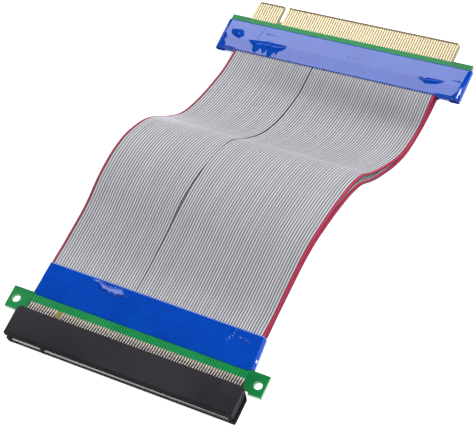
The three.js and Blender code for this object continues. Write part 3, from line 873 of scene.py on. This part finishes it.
edgeTapeSet = {
    "front": -2.3, "sideFront": -2.3, "rear": -15.45, "half": 50.6, "shift": 0.15, "inward": -1, "climb": 7.7,
    "plateau": (49.5, 50.5), "pinch": 0.75, "taper": (0.0, 0.0), "columns": 420, "under": 100, "rows": 52,
    "bulge": 0.25, "seed": 8, "facets": [],
    # raised tents: outline, slope of all their sides
    "tents": [([(-47.1, -7.0), (-44.0, -6.4), (-41.8, -6.8), (-40.8, -8.8), (-42.3, -10.2), (-43.8, -10.0),
                (-46.0, -9.0)], 0.36),
              ([(-38.2, -10.1), (-30.0, -9.3), (-21.6, -9.4), (-22.6, -11.2), (-24.2, -12.2), (-24.6, -14.3),
                (-25.7, -12.4), (-26.6, -15.2), (-28.2, -15.0), (-28.9, -11.9), (-30.0, -15.2),
                (-31.2, -13.0), (-32.0, -12.2), (-33.1, -14.8), (-34.6, -14.3), (-35.3, -12.0),
                (-37.0, -11.0)], 0.36),
              ([(32.2, -9.9), (34.5, -9.4), (35.6, -10.2), (36.2, -9.3), (43.5, -9.3), (40.0, -11.0),
                (36.1, -11.5), (34.5, -10.6)], 0.42),
              ([(45.7, -8.1), (48.7, -7.8), (48.7, -8.5), (45.9, -8.6)], 0.42)],
    # corners where the film falls away to the board's side: outline, slope
    "falls": [([(-56.0, -8.2), (-49.2, -8.8), (-47.6, -10.4), (-48.2, -12.6), (-46.4, -12.9), (-45.6, -14.4),
                (-46.0, -19.0), (-56.0, -19.0)], 0.20),
              ([(56.0, -8.0), (50.1, -9.0), (49.3, -12.2), (48.1, -14.5), (46.2, -15.0), (45.5, -19.0),
                (56.0, -19.0)], 0.20)],
    "creases": [([(-34.2, -4.1), (-35.0, -8.9)], 0.16, 0.05), ([(-32.8, -6.1), (-28.1, -5.9)], 0.22, 0.05),
                ([(2.5, -8.2), (12.0, -7.7), (20.9, -7.8)], 0.4, 0.035),
                ([(-16.0, -5.0), (-4.0, -6.5), (16.0, -11.5)], 0.6, 0.02)],
}
# what both tapes share: the film's height over the board's middle plane on the board and on the cable, how far
# it climbs beside the cable, the ribs that show through, the limits where it follows the board's shoulders and
# the cable's edge, its slow waves, and how its creases break up
filmSet = {
    "thickness": 0.07, "onBoard": 0.92, "onCable": 2.02, "besideCable": 0.05, "pinched": 0.85,
    "ribHeight": 0.07, "ribReach": 1.6, "shoulder": (41.6, 42.3), "cableEdge": (-0.05, 0.95),
    "lowest": -0.03, "lowestWithin": 47, "underShare": 0.3, "waves": 7, "waveHeight": 0.010,
    "waveX": (0.05, 0.25), "waveY": (0.1, 0.5), "facetEdge": (-0.12, 0.22), "sharp": 60.0,
    "creaseLeft": 0.7, "creaseBroken": 0.5, "breakX": 3.1, "breakY": 4.3,
    # places down a folded side, as parts of its height, and the part that slopes outward before it drops
    "foldSides": [0.96, 0.89, 0.82, 0.76, 0.70, 0.4, 0.0, -0.4, -0.70, -0.76, -0.82, -0.89, -0.96],
    "foldCut": 0.24,
}
farOff = 1e9


# distance from each place to a line through points, in mm
def distanceTo(x, y, line):
    nearest = np.full(x.shape, farOff)
    for (x0, y0), (x1, y1) in zip(line, line[1:]):
        dx, dy = x1 - x0, y1 - y0
        along = np.clip(((x - x0) * dx + (y - y0) * dy) / (dx * dx + dy * dy), 0, 1)
        nearest = np.minimum(nearest, np.hypot(x - x0 - along * dx, y - y0 - along * dy))
    return nearest


# how far inside an outline each place lies, in mm, negative outside: the distance to the nearest side, with
# its sign from counting the sides that a line toward +X crosses
def insideBy(x, y, outline):
    ring = outline + outline[:1]
    crossings = np.zeros(x.shape, int)
    for (x0, y0), (x1, y1) in zip(ring, ring[1:]):
        if y1 != y0:
            crossings += ((y0 > y) != (y1 > y)) & (x < x0 + (y - y0) * (x1 - x0) / (y1 - y0))
    nearest = distanceTo(x, y, ring)
    return np.where(crossings % 2 == 1, nearest, -nearest)


# lift of the film at each place, all added up: slow waves; facets that climb at an even slope and drop back
# at each pleat; tents and falls, whose height or depth is slope * distance inside the outline; and creases,
# each a narrow bell across its line with small breaks along it
def filmWrinkles(x, y, settings):
    rng = np.random.default_rng(settings["seed"])
    lift = np.zeros_like(x)
    for _ in range(filmSet["waves"]):
        fx, fy = rng.uniform(*filmSet["waveX"]), rng.uniform(*filmSet["waveY"])
        lift += filmSet["waveHeight"] * np.sin(fx * x + fy * y + rng.uniform(0, 6.3))
    for outline, (slopeX, slopeY), pleat, start in settings["facets"]:
        steep = math.hypot(slopeX, slopeY)
        run = ((x - start) * slopeX + y * slopeY) / steep
        lift += smooth(insideBy(x, y, outline), *filmSet["facetEdge"]) * steep * np.mod(run, pleat)
    for outline, steep in settings["tents"]:
        lift += steep * np.maximum(insideBy(x, y, outline), 0)
    for outline, steep in settings["falls"]:
        lift -= steep * np.maximum(insideBy(x, y, outline), 0)
    for line, width, height in settings["creases"]:
        breaks = np.sin(filmSet["breakX"] * x + filmSet["breakY"] * y)
        whole = np.clip(filmSet["creaseLeft"] + filmSet["creaseBroken"] * breaks, 0, 1)
        lift += height * whole * np.exp(-(distanceTo(x, y, line) / width) ** 2)
    return lift


# the film's path once round the board, for one column of the grid after another: X, the part of the height
# that it lies at (1 on top, -1 below), and how far a folded side stands out
def filmLoop(settings):
    half = settings["half"]
    flat = np.linspace(-half, half, settings["columns"])
    under = np.linspace(half, -half, settings["under"])
    fold = np.array(filmSet["foldSides"])
    x = np.concatenate([flat, half + 0 * fold, under, -half + 0 * fold])
    side = np.concatenate([1 + 0 * flat, fold, -1 + 0 * under, -fold])
    outward = settings["bulge"] * np.clip((1 - np.abs(fold)) / filmSet["foldCut"], 0, 1)
    return x, side, np.concatenate([0 * flat, outward, 0 * under, -outward])


# the film goes once round the board; its height over the board's middle plane climbs from the board over the
# solder to the cable, and follows the ribs at its rear edge
def tapeWrap(name, place, settings, replaced):
    x, side, bulge = filmLoop(settings)
    inward, rows, count = settings["inward"], settings["rows"], len(x)
    v = np.linspace(0, 1, rows)[:, None]
    nearShoulder = smooth(np.abs(x + settings["shift"]), *filmSet["shoulder"])
    front = settings["front"] + (settings["sideFront"] - settings["front"]) * nearShoulder
    y = front + (settings["rear"] - front) * v
    x = np.broadcast_to(x, y.shape)
    depth = inward * (y - settings["front"])
    span = abs(settings["rear"] - settings["front"])
    climb = np.clip(depth / settings["climb"], 0, 1)
    cableEdge = [cableWidth / 2 + more for more in filmSet["cableEdge"]]
    overCable = 1 - smooth(np.abs(x), *cableEdge)
    overTape = np.where(side > 0, 1 - smooth(np.abs(x), *settings["plateau"]), overCable)
    onBoard, onCable = filmSet["onBoard"], filmSet["onCable"]
    level = onBoard + (onCable - onBoard) * climb * overTape
    level += filmSet["besideCable"] * climb * (1 - overTape)
    if settings["pinch"]:
        pinched = smooth(depth, span - settings["pinch"], span + 0.01) * (1 - overCable)
        level *= 1 - filmSet["pinched"] * pinched
    lowest = np.where(np.abs(x) < filmSet["lowestWithin"], filmSet["lowest"], onBoard - level)
    wrinkles = filmWrinkles(x, y, settings) * np.abs(side) ** 4 * np.where(side > 0, 1, filmSet["underShare"])
    ribs = filmSet["ribHeight"] * np.abs(np.sin(np.pi * x)) * overCable
    ribs *= smooth(inward * (y - settings["rear"]), -filmSet["ribReach"], 0.0)
    height = side * (level + np.maximum(wrinkles, lowest) + ribs * np.abs(side))
    leftTaper, rightTaper = settings["taper"]
    across = (x + bulge) * (1 - np.where(x > 0, rightTaper, leftTaper) * v)
    points = np.stack([across + settings["shift"], y, midPlane + height], -1).reshape(-1, 3)
    return addPiece(name, place(points), gridQuads(rows, count, True), film, [replaced],
                    points[:, :2], "boardPlace", filmSet["sharp"])


# the film's thickness, inward from the grid
def thickened(piece):
    solidify = piece.modifiers.new("filmThickness", "SOLIDIFY")
    solidify.thickness = filmSet["thickness"] * mm
    solidify.offset = -1
    solidify.use_rim = True


for name, place, settings, node in (("slotTapeWrap", atSlot, slotTapeSet, "slot_tape"),
                                    ("edgeTapeWrap", atEdge, edgeTapeSet, "edge_tape")):
    thickened(tapeWrap(name, place, settings, node))
print("tapes made")

# ---- the solder rows, which stay as CAD nodes, and the floor
for word in ("upper", "lower"):
    for end in ("slot", "edge"):
        row = frame["nodes"][f"{word}_{end}_solder_row"]
        row.data.materials.clear()
        row.data.materials.append(tin)

floorSet = {"half": 4.0, "color": (0.90, 0.90, 0.91, 1), "roughness": 0.9, "specular": 0.1, "glow": 0.62}


def paleFloor(settings):
    half = settings["half"]
    mesh = bpy.data.meshes.new("paleFloor")
    mesh.from_pydata([(-half, -half, 0), (half, -half, 0), (half, half, 0), (-half, half, 0)], [],
                     [(0, 1, 2, 3)])
    floor = bpy.data.objects.new("paleFloor", mesh)
    scene.collection.objects.link(floor)
    mesh.materials.append(Tree("paleFloor").finish(
        Base_Color=settings["color"], Roughness=settings["roughness"],
        Specular_IOR_Level=settings["specular"], Emission_Color=(1, 1, 1, 1),
        Emission_Strength=settings["glow"]))


paleFloor(floorSet)
print("floor made")
